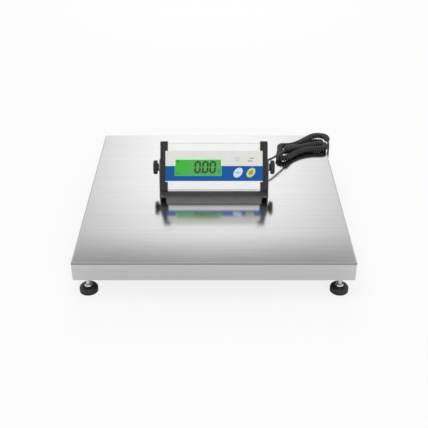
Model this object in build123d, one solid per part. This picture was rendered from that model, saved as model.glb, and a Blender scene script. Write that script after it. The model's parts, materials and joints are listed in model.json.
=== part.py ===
# Bench platform scale: a stainless pan on a four-cell frame, a tilting indicator in a bracket
# on the pan, and the coiled cable between them. Millimetres, +Z up, the origin on the floor
# under the centre of the platform, -Y towards the person who reads the display.
import os
from math import cos, radians, sin, tan

from build123d import *

os.makedirs("parts", exist_ok=True)

# Platform
PAN_SIZE = 500.0
PAN_TOP = 77.0
SKIRT_DEPTH = 36.0
PAN_SHEET = 1.5
PAN_BEND = 3.0
PAN_CORNER = 4.0
RUBBER = 2.0
RUBBER_SIDE = 30.0

# Frame of folded channels, open side down
CHANNEL_WIDTH = 40.0
CHANNEL_HEIGHT = 30.0
CHANNEL_SHEET = 2.5
CHANNEL_BEND = 4.0
SKIRT_GAP = 1.5
SIDE_MEMBER_GAP = 9.0
CROSS_FRONT_Y = -90.0
CROSS_REAR_Y = 130.0
PAN_STUD_Y = 50.0
PAN_STUD_RADIUS = 3.0
NUT_HEIGHT = 5.0
NUT_RADIUS = 5.8

# Load cells and feet
FOOT_INSET = 23.0
CELL_LENGTH = 130.0
CELL_SIDE = 22.0
CELL_OVERHANG = 12.0
CELL_SPACER = 4.0
CELL_BORE = 7.0
CELL_BORE_PITCH = 22.0
CELL_BORE_OFFSET = 40.0
CELL_SLOT = 5.0
CELL_CHAMFER = 0.8
BOLT_OFFSETS = (82.0, 106.0)
BOLT_RADIUS = 3.0
BOLT_HEAD_RADIUS = 5.0
BOLT_HEAD_HEIGHT = 6.0
BOLT_SOCKET_RADIUS = 2.9
BOLT_SOCKET_DEPTH = 3.5
PAD_RADIUS = 16.75
PAD_SIDE = 8.5
PAD_HEIGHT = 14.0
PAD_SOCKET_FLOOR = 5.0
PAD_RIB = 0.6
PAD_SHOULDER = 3.2
STUD_RADIUS = 4.0
STUD_FOOT_RADIUS = 5.0
STUD_TOP = 66.0
STUD_CHAMFER = 0.8
COLLAR_RADIUS = 7.4
COLLAR_HEIGHT = 1.8
HEX_RADIUS = 6.6
HEX_HEIGHT = 3.2
LOCK_NUT_RADIUS = 7.5
LOCK_NUT_HEIGHT = 6.5
RUNNING_GAP = 0.08
LOOSE_GAP = 0.3

# Summing box
BOX_LENGTH = 100.0
BOX_WIDTH = 52.0
BOX_HEIGHT = 24.0
BOX_WALL = 2.5
BOX_Y = 0.0
LID_SHEET = 2.5
BOARD_SHEET = 1.6
BOARD_GAP = 5.0
LEAD_RADIUS = 1.8
LEAD_Z = 57.0
LEAD_RUN = 34.0
LEAD_BEND = 10.0
GLAND_LENGTH = 18.0
GLAND_RADIUS = 8.0
GLAND_HEX = 6.0
GLAND_CROWN = 3.0
BOX_SCREW_RADIUS = 2.0
POST_RADIUS = 3.5
LID_SCREW_RADIUS = 1.5
BOX_CORNER = 2.0
BOX_SCREW_INSET = 10.0
POST_INSET = 3.0
LID_SCREW_DEPTH = 10.0
LID_SCREW_HEAD = 1.6
LID_HEAD_RADIUS = 2.8
BOX_SCREW_HEAD = 2.2
BOX_HEAD_RADIUS = 3.8
SUMMING_BOARD_INSET = 7.5
TERMINAL_DEPTH = 8.0
TERMINAL_LENGTH = 12.0
TERMINAL_HEIGHT = 3.0
BOARD_BOSS_RADIUS = 2.5

# Indicator, in the frame of its face: x to the right, y up the face, z out of it
FACE_Y = -5.3
FACE_Z = 135.2
FACE_TILT = 34.4
SHELL_HALF_LENGTH = 96.2
SHELL_HALF_HEIGHT = 49.2
SHELL_DEPTH = 40.0
SHELL_FLANK = 7.0
REAR_HALF_HEIGHT = 28.0
FRONT_EDGE = 3.5
REAR_EDGE = 5.0
SHELL_WALL = 2.5
FRONT_HALF_HEIGHT = 45.6
FRONT_SHEET = 3.0
SEAM = 0.25
PIVOT_DEPTH = 18.0
CAP_PLATE = 10.1
CAP_LIP = 1.0
LUG_LENGTH = 5.0
LUG_HEIGHT = 31.0
CAP_CROWN = 2.5
LABEL_TOP = 30.9
LABEL_BOTTOM = -29.6
LABEL_SHEET = 0.4
WINDOW_INSET = 18.2
WINDOW_RIGHT = 15.6
WINDOW_TOP = 14.9
WINDOW_BOTTOM = -19.0
WINDOW_SHEET = 1.5
GLASS_SHEET = 2.8
GLASS_MARGIN = 3.5
KEY_LONG = 11.0
KEY_SHORT = 7.7
KEY_SLANT = 50.0
KEY_Y = -12.5
UNIT_KEY_INSET = 23.3
KEY_PITCH = 25.5
KEY_PROUD = 1.0
KEY_CHAMFER = 0.4
KEY_FLANGE = 1.0
KEY_STEM_RADIUS = 2.0
KEY_CLEAR = 0.8
DOME_RADIUS = 4.5
DOME_HEIGHT = 1.2
BOARD_DEPTH = 9.0
DOOR_LEFT_INSET = 36.2
DOOR_RIGHT_INSET = 48.2
DOOR_HALF_HEIGHT = 22.0
CELL_RADIUS = 7.2
BATTERY_TIP = 1.5
BATTERY_TIP_RADIUS = 2.6
HOLDER_WALL = 1.5
HOLDER_FLOOR = 19.5
DSUB_INSET = 26.2
DSUB_Y = -10.0
JACK_INSET = 18.2
JACK_RADIUS = 5.0
JACK_RIM = 6.5
JACK_BORE = 2.75
THUMB_RADIUS = 7.0
THUMB_INSET = 14.0
CAP_SCREW_RADIUS = 1.5
CAP_SCREW_LENGTH = 14.0
CAP_SCREW_EDGE = 7.2
FRONT_SCREW_DEPTH = -10.0
CAP_SCREW_HEAD = 2.0
CAP_HEAD_RADIUS = 2.7
CAP_HEAD_SINK = 4.0
SCREW_BOSS_RADIUS = 3.5
MAIN_BOARD_HALF = 38.0
PART_HEIGHT = 3.0
CORD_GLAND_INSET = 22.2
CORD_GLAND_Y = 15.0
CORD_GLAND_LENGTH = 14.0
LEAD_STUB = 20.0

# Bracket and tilt knobs
BRACKET_SHEET = 2.0
BRACKET_BEND = 1.5
BRACKET_FRONT_Y = -52.7
BRACKET_REAR_Y = 40.0
BRACKET_FRONT_HALF = 92.5
BRACKET_NECK_HALF = 96.0
BRACKET_SHOULDER_Y = -26.0
LEG_FRONT_Y = -22.0
EAR_RADIUS = 17.0
EAR_GAP = 0.2
SLOT_X = 60.0
SLOT_LENGTH = 16.0
SLOT_RADIUS = 2.75
SLOT_INSET = 20.0
BRACKET_CORNER = 3.0
WASHER = 1.2
WASHER_RADIUS = 8.0
KNOB_SCREW_RADIUS = 3.0
KNOB_SCREW_LENGTH = 14.0
KNOB_NECK = 3.2
KNOB_NECK_RADIUS = 7.4
KNOB_HEAD = 7.9
KNOB_RADIUS = 13.9
KNOB_LOBES = 8
KNOB_FLUTE = 2.6
KNOB_EDGE = 2.6
KNOB_HEEL = 1.2

# Coiled cable
CORD_RADIUS = 2.3
COIL_RADIUS = 6.8

# Places that follow from the sizes
HALF = PAN_SIZE / 2
PAN_UNDER = PAN_TOP - PAN_SHEET
SKIRT_BOTTOM = PAN_TOP - SKIRT_DEPTH
WEB_TOP = PAN_UNDER - RUBBER
WEB_UNDER = WEB_TOP - CHANNEL_SHEET
FLANGE_BOTTOM = WEB_TOP - CHANNEL_HEIGHT
CHANNEL_OUTER = HALF - PAN_SHEET - SKIRT_GAP
FOOT = HALF - FOOT_INSET
CHANNEL_Y = CHANNEL_OUTER - CHANNEL_WIDTH / 2
CHANNEL_INNER = CHANNEL_OUTER - CHANNEL_WIDTH
CELL_TOP = WEB_UNDER - CELL_SPACER
CELL_BOTTOM = CELL_TOP - CELL_SIDE
CELL_END = FOOT + CELL_OVERHANG
CELL_INNER = CELL_END - CELL_LENGTH
SIDE_MEMBER_X = CELL_INNER - SIDE_MEMBER_GAP + CHANNEL_WIDTH / 2
SIDE_OUTER = SIDE_MEMBER_X + CHANNEL_WIDTH / 2
LEAD_COLUMN_X = CELL_INNER - LEAD_RUN
LEAD_PITCH = BOX_LENGTH / 5
BOX_TOP = WEB_UNDER
BOX_BOTTOM = BOX_TOP - BOX_HEIGHT
GLAND_X = SIDE_OUTER + BOX_WIDTH / 2
CAP_OUTER = SHELL_HALF_LENGTH + CAP_PLATE
LUG_INNER = SHELL_HALF_LENGTH - LUG_LENGTH
WINDOW_LEFT = WINDOW_INSET - SHELL_HALF_LENGTH
UNIT_KEY_X = SHELL_HALF_LENGTH - UNIT_KEY_INSET
ZERO_KEY_X = UNIT_KEY_X - KEY_PITCH
DOOR_LEFT = DOOR_LEFT_INSET - SHELL_HALF_LENGTH
DOOR_RIGHT = SHELL_HALF_LENGTH - DOOR_RIGHT_INSET
BATTERY_LENGTH = (DOOR_RIGHT - DOOR_LEFT) / 2 - HOLDER_WALL - 2.0
DSUB_X = SHELL_HALF_LENGTH - DSUB_INSET
JACK_X = JACK_INSET - SHELL_HALF_LENGTH
CORD_GLAND_X = SHELL_HALF_LENGTH - CORD_GLAND_INSET
FACE = Location(
    Plane(
        origin=(0, FACE_Y, FACE_Z),
        x_dir=(1, 0, 0),
        z_dir=(0, -cos(radians(FACE_TILT)), sin(radians(FACE_TILT))),
    )
)
PIVOT_Y = FACE_Y + PIVOT_DEPTH * cos(radians(FACE_TILT))
PIVOT_Z = FACE_Z - PIVOT_DEPTH * sin(radians(FACE_TILT))
EAR_INNER = CAP_OUTER + EAR_GAP
EAR_OUTER = EAR_INNER + BRACKET_SHEET

# Route of the cable: X is from the pan's right edge and Z from its top, apart from the lead's start
# and the run under the pan. The hank has three runs, the first from the lead to the right.
LEAD_POINTS = [
    (CORD_GLAND_X + 24, 74, PAN_TOP + 26.5), (CORD_GLAND_X + 40, 80, PAN_TOP + 26),
    (HALF - 122, 96, PAN_TOP + 25), (HALF - 109, 115, PAN_TOP + 24),
    (HALF - 98, 131, PAN_TOP + 22.5),
]
COIL_POINTS = [
    (HALF + x, y, PAN_TOP + z)
    for x, y, z in (
        (-98, 131, 22.5), (-89, 147, 21.5), (-76, 161, 14), (-58, 172, 8), (-42, 180, 7.5),
        (-26, 186, 7.5), (-4, 189, 7.5),
        (-4, 161, 7.5), (-26, 161, 7.5), (-44, 156, 7.5), (-63, 147, 7.5), (-78, 133, 7.5),
        (-94, 114, 7.5), (-111, 118, 7.5), (-106, 139, 7.5), (-103, 158, 7.5), (-104, 183, 7.5),
        (-82, 181, 7.5), (-66, 189, 7.5), (-53, 200.5, 7.5), (-39, 217, 7.5), (-25, 231, 7.5),
        (-8, 234, 8), (4, 223, 9), (4.5, 205, 11),
    )
]
TAIL_POINTS = [
    (HALF + x, y, PAN_TOP + z)
    for x, y, z in (
        (4.5, 205, 11), (5.5, 193, 12.5), (6.8, 181, 5), (7.6, 175, -13), (7.5, 172.5, -31),
        (6.5, 171.5, -43.5), (-2.5, 169.5, -51), (-16, 165, -47), (-36, 158, -35), (-60, 148, -24),
    )
]
TAIL_POINTS += [(GLAND_X, BOX_Y + BOX_LENGTH + 36, LEAD_Z), (GLAND_X, BOX_Y + BOX_LENGTH, LEAD_Z)]


def block(low, high):
    """A box from its lowest to its highest corner."""
    size = [b - a for a, b in zip(low, high)]
    middle = [(a + b) / 2 for a, b in zip(low, high)]
    return Pos(*middle) * Box(*size)


def rod(start, end, radius):
    """A round bar between two points."""
    along = Vector(*end) - Vector(*start)
    base = (Align.CENTER, Align.CENTER, Align.MIN)
    return Location(Plane(origin=start, z_dir=along)) * Cylinder(radius, along.length, align=base)


def hexagon(centre, height, radius):
    """A hexagonal prism that stands on its centre point."""
    return Pos(*centre) * extrude(RegularPolygon(radius, 6), height)


def group(solids):
    """Separate solids kept together in one node."""
    return Compound(children=list(solids))


def save(name, shape):
    export_step(shape, f"parts/{name}.step")


def corners():
    """The four feet, as a name and the sign of each side."""
    for back, y in (("front", -1), ("rear", 1)):
        for side, x in (("left", -1), ("right", 1)):
            yield f"{back}_{side}", x, y


def tube(points, radius, label):
    """A cord's solid: straight runs joined by arcs as large as the runs allow."""
    spots = [Vector(*p) for p in points]
    radii = []
    for a, b, c in zip(spots, spots[1:], spots[2:]):
        turn = (b - a).get_angle(c - b)
        shorter = min((b - a).length, (c - b).length)
        radii.append(0.45 * shorter / tan(radians(turn) / 2))
    path = FilletPolyline(*spots, radius=radii)
    start = Plane(origin=spots[0], z_dir=spots[1] - spots[0])
    solid = sweep(start * Circle(radius), path=path)
    ratio = solid.volume / (3.14159265 * radius**2 * path.length)
    print(label, "radii", [round(r, 1) for r in radii], "length", round(path.length, 1), round(ratio, 4))
    return solid


def pan():
    """The weighing pan, a folded sheet with a straight skirt."""
    outer = block((-HALF, -HALF, SKIRT_BOTTOM), (HALF, HALF, PAN_TOP))
    outer = fillet(outer.edges().filter_by(Axis.Z), PAN_CORNER)
    outer = fillet(outer.faces().sort_by(Axis.Z)[-1].edges(), PAN_BEND)
    room = HALF - PAN_SHEET
    inner = block((-room, -room, SKIRT_BOTTOM), (room, room, PAN_UNDER))
    inner = fillet(inner.edges().filter_by(Axis.Z), PAN_CORNER - PAN_SHEET)
    inner = fillet(inner.faces().sort_by(Axis.Z)[-1].edges(), PAN_BEND - PAN_SHEET)
    return outer - inner


def channel(low, high, along):
    """A folded channel, open below, between two corners in plan; its ends stay open."""
    outer = block((*low, FLANGE_BOTTOM), (*high, WEB_TOP))
    top = outer.faces().sort_by(Axis.Z)[-1].edges().filter_by(along)
    outer = fillet(top, CHANNEL_BEND)
    across_x = along == Axis.Y
    dx, dy = (CHANNEL_SHEET, 0) if across_x else (0, CHANNEL_SHEET)
    inner = block(
        (low[0] + dx, low[1] + dy, FLANGE_BOTTOM), (high[0] - dx, high[1] - dy, WEB_UNDER)
    )
    inner = fillet(
        inner.faces().sort_by(Axis.Z)[-1].edges().filter_by(along), CHANNEL_BEND - CHANNEL_SHEET
    )
    return outer - inner


def end_channel(side):
    """The front or rear channel, which holds two load cells."""
    y = side * CHANNEL_Y
    body = channel(
        (-CHANNEL_OUTER, y - CHANNEL_WIDTH / 2), (CHANNEL_OUTER, y + CHANNEL_WIDTH / 2), Axis.X
    )
    for x_side in (-1, 1):
        for offset in BOLT_OFFSETS:
            x = x_side * (FOOT - offset)
            body -= rod((x, y, CELL_TOP), (x, y, WEB_TOP + 1), BOLT_RADIUS + RUNNING_GAP)
        x = x_side * LEAD_COLUMN_X
        inner = side * CHANNEL_INNER
        body -= rod((x, inner - 5, LEAD_Z), (x, inner + 5, LEAD_Z), LEAD_RADIUS + LOOSE_GAP)
    return body


def side_member(side):
    """A channel from front to rear; the right one passes the cell leads to the box."""
    x = side * SIDE_MEMBER_X
    half = CHANNEL_WIDTH / 2
    body = channel((x - half, -CHANNEL_INNER), (x + half, CHANNEL_INNER), Axis.Y)
    for y in (-PAN_STUD_Y, PAN_STUD_Y):
        body -= rod((x, y, WEB_UNDER - 1), (x, y, WEB_TOP + 1), PAN_STUD_RADIUS + LOOSE_GAP)
    if side > 0:
        for y in lead_rows().values():
            body -= rod((x - half - 1, y, LEAD_Z), (x + half + 1, y, LEAD_Z), LEAD_RADIUS + LOOSE_GAP)
        for y in box_screw_rows():
            spot = (SIDE_OUTER - 5, y, LEAD_Z)
            body -= rod(spot, (SIDE_OUTER + 1, y, LEAD_Z), BOX_SCREW_RADIUS + RUNNING_GAP)
    return body


def cross_member(middle):
    """A channel between the side members, with a hole on each side for a cell lead."""
    end = SIDE_MEMBER_X - CHANNEL_WIDTH / 2
    half = CHANNEL_WIDTH / 2
    body = channel((-end, middle - half), (end, middle + half), Axis.X)
    for x in (-LEAD_COLUMN_X, LEAD_COLUMN_X):
        body -= rod(
            (x, middle - half - 1, LEAD_Z), (x, middle + half + 1, LEAD_Z), LEAD_RADIUS + LOOSE_GAP
        )
    return body


def box_screw_rows():
    """Where the two screws hold the summing box to the side member."""
    return (BOX_Y + BOX_SCREW_INSET, BOX_Y + BOX_LENGTH - BOX_SCREW_INSET)


def lead_rows():
    """The row along Y at which each cell's lead enters the box."""
    order = ("front_right", "front_left", "rear_left", "rear_right")
    return {name: BOX_Y + LEAD_PITCH * (i + 1) for i, name in enumerate(order)}


def load_cell(x_side, y_side):
    """A bending beam: two joined bores thin it, and it carries the foot at its free end."""
    y = y_side * CHANNEL_Y
    half = CELL_SIDE / 2
    ends = sorted((x_side * CELL_INNER, x_side * CELL_END))
    beam = block((ends[0], y - half, CELL_BOTTOM), (ends[1], y + half, CELL_TOP))
    beam = chamfer(beam.edges().filter_by(Axis.X), CELL_CHAMFER)
    middle_z = (CELL_BOTTOM + CELL_TOP) / 2
    centre = FOOT - CELL_BORE_OFFSET
    for shift in (-CELL_BORE_PITCH / 2, CELL_BORE_PITCH / 2):
        x = x_side * (centre + shift)
        beam -= rod((x, y - half - 1, middle_z), (x, y + half + 1, middle_z), CELL_BORE)
    pitch, slot = CELL_BORE_PITCH / 2, CELL_SLOT / 2
    x0, x1 = sorted((x_side * (centre - pitch), x_side * (centre + pitch)))
    beam -= block((x0, y - half - 1, middle_z - slot), (x1, y + half + 1, middle_z + slot))
    foot_x = x_side * FOOT
    beam -= rod((foot_x, y, CELL_BOTTOM - 1), (foot_x, y, CELL_TOP + 1), STUD_RADIUS + RUNNING_GAP)
    for offset in BOLT_OFFSETS:
        x = x_side * (FOOT - offset)
        beam -= rod((x, y, CELL_BOTTOM - 1), (x, y, CELL_TOP + 1), BOLT_RADIUS + RUNNING_GAP)
        head = CELL_BOTTOM + BOLT_HEAD_HEIGHT
        beam -= rod((x, y, CELL_BOTTOM - 1), (x, y, head), BOLT_HEAD_RADIUS + LOOSE_GAP)
    return beam


def cell_spacer(x_side, y_side):
    """The plate that holds a cell's fixed end clear of the channel's web."""
    y = y_side * CHANNEL_Y
    reach = CELL_INNER, FOOT - BOLT_OFFSETS[0] + 12
    x0, x1 = sorted(x_side * r for r in reach)
    plate = block((x0, y - CELL_SIDE / 2, CELL_TOP), (x1, y + CELL_SIDE / 2, WEB_UNDER))
    for offset in BOLT_OFFSETS:
        x = x_side * (FOOT - offset)
        plate -= rod((x, y, CELL_TOP - 1), (x, y, WEB_UNDER + 1), BOLT_RADIUS + RUNNING_GAP)
    return plate


def cell_bolt(x, y):
    """A socket-head bolt, its head sunk in the cell and its end in the web."""
    head_top = CELL_BOTTOM + BOLT_HEAD_HEIGHT
    bolt = rod((x, y, CELL_BOTTOM + 0.5), (x, y, head_top), BOLT_HEAD_RADIUS)
    bolt += rod((x, y, head_top), (x, y, WEB_TOP), BOLT_RADIUS)
    return bolt - hexagon((x, y, CELL_BOTTOM), BOLT_SOCKET_DEPTH, BOLT_SOCKET_RADIUS)


def foot_pad(x, y):
    """The moulded pad of a levelling foot: two ribs round the side and a domed top."""
    side = [
        (0, 0), (PAD_RADIUS - 1.5, 0), (PAD_RADIUS, 1.2), (PAD_RADIUS, 3.6), (PAD_RADIUS - PAD_RIB, 4.0),
        (PAD_RADIUS - PAD_RIB, 4.7), (PAD_RADIUS, 5.1), (PAD_RADIUS, PAD_SIDE),
    ]
    socket = STUD_FOOT_RADIUS + RUNNING_GAP
    crown = ThreePointArc(
        (PAD_RADIUS, PAD_SIDE), (PAD_RADIUS - PAD_SHOULDER, 12.4), (COLLAR_RADIUS, PAD_HEIGHT)
    )
    inside = Polyline(
        (COLLAR_RADIUS, PAD_HEIGHT), (socket, PAD_HEIGHT), (socket, PAD_SOCKET_FLOOR),
        (0, PAD_SOCKET_FLOOR), (0, 0),
    )
    outline = make_face([*Polyline(*side).edges(), crown, *inside.edges()])
    return Pos(x, y, 0) * revolve(Plane.XZ * outline, Axis.Z)


def foot_stud(x, y):
    """The threaded stud: a round foot in the pad, a flared collar, a spanner hexagon, a shank."""
    collar = PAD_HEIGHT + RUNNING_GAP
    stud = rod((0, 0, PAD_SOCKET_FLOOR + RUNNING_GAP), (0, 0, collar), STUD_FOOT_RADIUS)
    base = (Align.CENTER, Align.CENTER, Align.MIN)
    stud += Pos(0, 0, collar) * Cone(COLLAR_RADIUS, HEX_RADIUS - 0.4, COLLAR_HEIGHT, align=base)
    stud += hexagon((0, 0, collar + COLLAR_HEIGHT), HEX_HEIGHT, HEX_RADIUS)
    shank = rod((0, 0, collar + COLLAR_HEIGHT), (0, 0, STUD_TOP), STUD_RADIUS)
    shank = chamfer(shank.edges().sort_by(Axis.Z)[-1], STUD_CHAMFER)
    return Pos(x, y, 0) * (stud + shank)


def lock_nut(x, y):
    """The nut that locks a foot's stud against the cell."""
    low = CELL_BOTTOM - LOCK_NUT_HEIGHT
    nut = hexagon((x, y, low), LOCK_NUT_HEIGHT, LOCK_NUT_RADIUS)
    return nut - rod((x, y, low - 1), (x, y, CELL_BOTTOM + 1), STUD_RADIUS + RUNNING_GAP)


def pan_rubbers():
    """Rubber blocks between the frame and the pan."""
    half = RUBBER_SIDE / 2
    spots = [(x, y) for x in (-FOOT + 20, -60, 60, FOOT - 20) for y in (-CHANNEL_Y, CHANNEL_Y)]
    blocks = [block((x - half, y - half, WEB_TOP), (x + half, y + half, PAN_UNDER)) for x, y in spots]
    for x in (-SIDE_MEMBER_X, SIDE_MEMBER_X):
        for y in (-PAN_STUD_Y, PAN_STUD_Y):
            ring = block((x - half, y - half, WEB_TOP), (x + half, y + half, PAN_UNDER))
            blocks.append(ring - rod((x, y, WEB_TOP - 1), (x, y, PAN_TOP), PAN_STUD_RADIUS + LOOSE_GAP))
    return group(blocks)


def pan_studs():
    """Studs welded under the pan."""
    low = WEB_UNDER - NUT_HEIGHT - 4
    return group(
        rod((x, y, low), (x, y, PAN_UNDER), PAN_STUD_RADIUS)
        for x in (-SIDE_MEMBER_X, SIDE_MEMBER_X)
        for y in (-PAN_STUD_Y, PAN_STUD_Y)
    )


def pan_nuts():
    """Nuts that pull the pan down onto its rubbers."""
    low = WEB_UNDER - NUT_HEIGHT
    bore = PAN_STUD_RADIUS + RUNNING_GAP
    return group(
        hexagon((x, y, low), NUT_HEIGHT, NUT_RADIUS) - rod((x, y, low - 1), (x, y, WEB_UNDER + 1), bore)
        for x in (-SIDE_MEMBER_X, SIDE_MEMBER_X)
        for y in (-PAN_STUD_Y, PAN_STUD_Y)
    )


def box_posts():
    """The screw posts in the corners of the summing box."""
    inset = BOX_WALL + POST_INSET
    for x in (SIDE_OUTER + inset, SIDE_OUTER + BOX_WIDTH - inset):
        for y in (BOX_Y + inset, BOX_Y + BOX_LENGTH - inset):
            yield x, y


def summing_box():
    """The box where the four leads join: open below, with screw posts and entries."""
    low = (SIDE_OUTER, BOX_Y, BOX_BOTTOM)
    high = (SIDE_OUTER + BOX_WIDTH, BOX_Y + BOX_LENGTH, BOX_TOP)
    shell = fillet(block(low, high).edges().filter_by(Axis.Z), BOX_CORNER)
    inner = block(
        (low[0] + BOX_WALL, low[1] + BOX_WALL, BOX_BOTTOM),
        (high[0] - BOX_WALL, high[1] - BOX_WALL, BOX_TOP - BOX_WALL),
    )
    shell -= inner
    bore, end = LID_SCREW_RADIUS + RUNNING_GAP, BOX_BOTTOM + LID_SCREW_DEPTH + 2
    for x, y in box_posts():
        shell += rod((x, y, BOX_BOTTOM), (x, y, BOX_TOP - BOX_WALL / 2), POST_RADIUS)
        shell -= rod((x, y, BOX_BOTTOM - 1), (x, y, end), bore)
    for y in lead_rows().values():
        shell -= rod((low[0] - 1, y, LEAD_Z), (low[0] + BOX_WALL + 1, y, LEAD_Z), LEAD_RADIUS + LOOSE_GAP)
    for y in box_screw_rows():
        end = low[0] + BOX_WALL + 1
        shell -= rod((low[0] - 1, y, LEAD_Z), (end, y, LEAD_Z), BOX_SCREW_RADIUS + RUNNING_GAP)
    gland = (GLAND_X, high[1], LEAD_Z)
    neck = GLAND_RADIUS - 2 + RUNNING_GAP
    return shell - rod((gland[0], gland[1] - BOX_WALL - 1, LEAD_Z), (gland[0], gland[1] + 1, LEAD_Z), neck)


def box_lid():
    """The flat lid under the summing box."""
    low = (SIDE_OUTER, BOX_Y, BOX_BOTTOM - LID_SHEET)
    high = (SIDE_OUTER + BOX_WIDTH, BOX_Y + BOX_LENGTH, BOX_BOTTOM)
    lid = fillet(block(low, high).edges().filter_by(Axis.Z), BOX_CORNER)
    for x, y in box_posts():
        lid -= rod((x, y, low[2] - 1), (x, y, BOX_BOTTOM + 1), LID_SCREW_RADIUS + RUNNING_GAP)
    return lid


def lid_screws():
    """Four screws through the lid into the posts."""
    low = BOX_BOTTOM - LID_SHEET
    return group(
        rod((x, y, low - LID_SCREW_HEAD), (x, y, low), LID_HEAD_RADIUS)
        + rod((x, y, low), (x, y, BOX_BOTTOM + LID_SCREW_DEPTH), LID_SCREW_RADIUS)
        for x, y in box_posts()
    )


def box_screws():
    """Two screws from inside the side member into the wall of the box."""
    inner = SIDE_OUTER - CHANNEL_SHEET
    return group(
        rod((inner - BOX_SCREW_HEAD, y, LEAD_Z), (inner, y, LEAD_Z), BOX_HEAD_RADIUS)
        + rod((inner, y, LEAD_Z), (SIDE_OUTER + BOX_WALL + 0.5, y, LEAD_Z), BOX_SCREW_RADIUS)
        for y in box_screw_rows()
    )


def summing_board():
    """The board with its terminals, hung under the box's top on two bosses."""
    top = BOX_TOP - BOX_WALL - BOARD_GAP
    edge = BOX_WALL + SUMMING_BOARD_INSET
    x0, x1 = SIDE_OUTER + edge, SIDE_OUTER + BOX_WIDTH - edge
    y0, y1 = BOX_Y + edge, BOX_Y + BOX_LENGTH - edge
    board = block((x0, y0, top - BOARD_SHEET), (x1, y1, top))
    middle = (x0 + x1) / 2
    for y in (y0 + TERMINAL_DEPTH, y1 - TERMINAL_DEPTH):
        board += rod((middle, y, top), (middle, y, BOX_TOP - BOX_WALL), BOARD_BOSS_RADIUS)
    under, half = top - BOARD_SHEET, TERMINAL_LENGTH / 2
    start = x0 + TERMINAL_HEIGHT
    for y in lead_rows().values():
        low = (start, y - half, under - TERMINAL_HEIGHT)
        board += block(low, (start + TERMINAL_DEPTH, y + half, under))
    return board


def box_gland():
    """The gland that grips the coiled cable where it enters the box."""
    wall = BOX_Y + BOX_LENGTH
    x, z = GLAND_X, LEAD_Z
    body = rod((x, wall - BOX_WALL - 1, z), (x, wall, z), GLAND_RADIUS - 2)
    flat = Location(Plane(origin=(x, wall, z), z_dir=(0, 1, 0)))
    body += flat * extrude(RegularPolygon(GLAND_RADIUS, 6), GLAND_HEX)
    dome = rod((x, wall + GLAND_HEX, z), (x, wall + GLAND_LENGTH, z), GLAND_RADIUS - 1)
    body += fillet(dome.edges().sort_by(Axis.Y)[-1], GLAND_CROWN)
    return body - rod((x, wall - BOX_WALL - 2, z), (x, wall + GLAND_LENGTH + 1, z), CORD_RADIUS + 0.1)


def cell_lead(name, x_side, y_side):
    """A lead from a cell's inner end, out of the channel and along the frame to the box."""
    row = lead_rows()[name]
    y = y_side * CHANNEL_Y
    column = x_side * LEAD_COLUMN_X
    points = [(x_side * CELL_INNER, y, LEAD_Z), (column, y, LEAD_Z), (column, row, LEAD_Z)]
    points.append((SIDE_OUTER + BOX_WALL + 3, row, LEAD_Z))
    path = FilletPolyline(*points, radius=LEAD_BEND)
    start = Plane(origin=points[0], z_dir=(-x_side, 0, 0))
    return sweep(start * Circle(LEAD_RADIUS), path=path)


def section(grow=0.0):
    """The housing's section, height up the face against depth, moved out by grow."""
    half, rear = SHELL_HALF_HEIGHT + grow, REAR_HALF_HEIGHT + grow
    face, back = grow, -SHELL_DEPTH - grow
    outline = Polygon(
        (-half, face), (half, face), (half, -SHELL_FLANK), (rear, back), (-rear, back),
        (-half, -SHELL_FLANK), align=None,
    )
    outline = fillet(outline.vertices().group_by(Axis.Y)[-1], FRONT_EDGE + grow)
    return fillet(outline.vertices().group_by(Axis.Y)[0], REAR_EDGE + grow)


def bar(outline, x0, x1):
    """A section of the housing run along X."""
    return extrude(Plane.YZ.offset(x0) * outline, x1 - x0, dir=(1, 0, 0))


def place(solid):
    """From the frame of the face to the frame of the scale."""
    return FACE * solid


def window_block(grow, back, front):
    low = (WINDOW_LEFT - grow, WINDOW_BOTTOM - grow, back)
    return block(low, (WINDOW_RIGHT + grow, WINDOW_TOP + grow, front))


def key_prism(x, grow, back, front):
    """A slanted ellipse, the outline of a key."""
    ellipse = Ellipse(KEY_LONG + grow, KEY_SHORT + grow, rotation=KEY_SLANT)
    return Pos(x, KEY_Y, back) * extrude(ellipse, front - back)


def front_shell():
    """The flat front, with a recess for the label and posts that carry the board."""
    panel = block(
        (-SHELL_HALF_LENGTH, -FRONT_HALF_HEIGHT, -FRONT_SHEET),
        (SHELL_HALF_LENGTH, FRONT_HALF_HEIGHT, 0),
    )
    panel -= block(
        (-SHELL_HALF_LENGTH, LABEL_BOTTOM, -LABEL_SHEET), (SHELL_HALF_LENGTH, LABEL_TOP, 1)
    )
    panel -= window_block(0.1, -FRONT_SHEET - 1, 1)
    for x in (ZERO_KEY_X, UNIT_KEY_X):
        panel -= key_prism(x, LOOSE_GAP, -FRONT_SHEET - 1, 1)
    for x, y in board_posts():
        panel += rod((x, y, -BOARD_DEPTH), (x, y, -FRONT_SHEET), 2.5)
    return place(panel)


def board_posts():
    """Where the front's posts meet the board."""
    left, right = SHELL_HALF_LENGTH - 10.2, SHELL_HALF_LENGTH - 5.2
    height = MAIN_BOARD_HALF - 4
    return [(x, y) for x in (-left, right) for y in (-height, height)]


def screw_bosses():
    """Where each end cap is screwed to the rear shell, as height and depth."""
    front, rear = SHELL_HALF_HEIGHT - CAP_SCREW_EDGE, REAR_HALF_HEIGHT - CAP_SCREW_EDGE - 0.8
    depth = SCREW_BOSS_RADIUS + 1.0 - SHELL_DEPTH
    return [(front, FRONT_SCREW_DEPTH), (-front, FRONT_SCREW_DEPTH), (rear, depth), (-rear, depth)]


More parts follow.
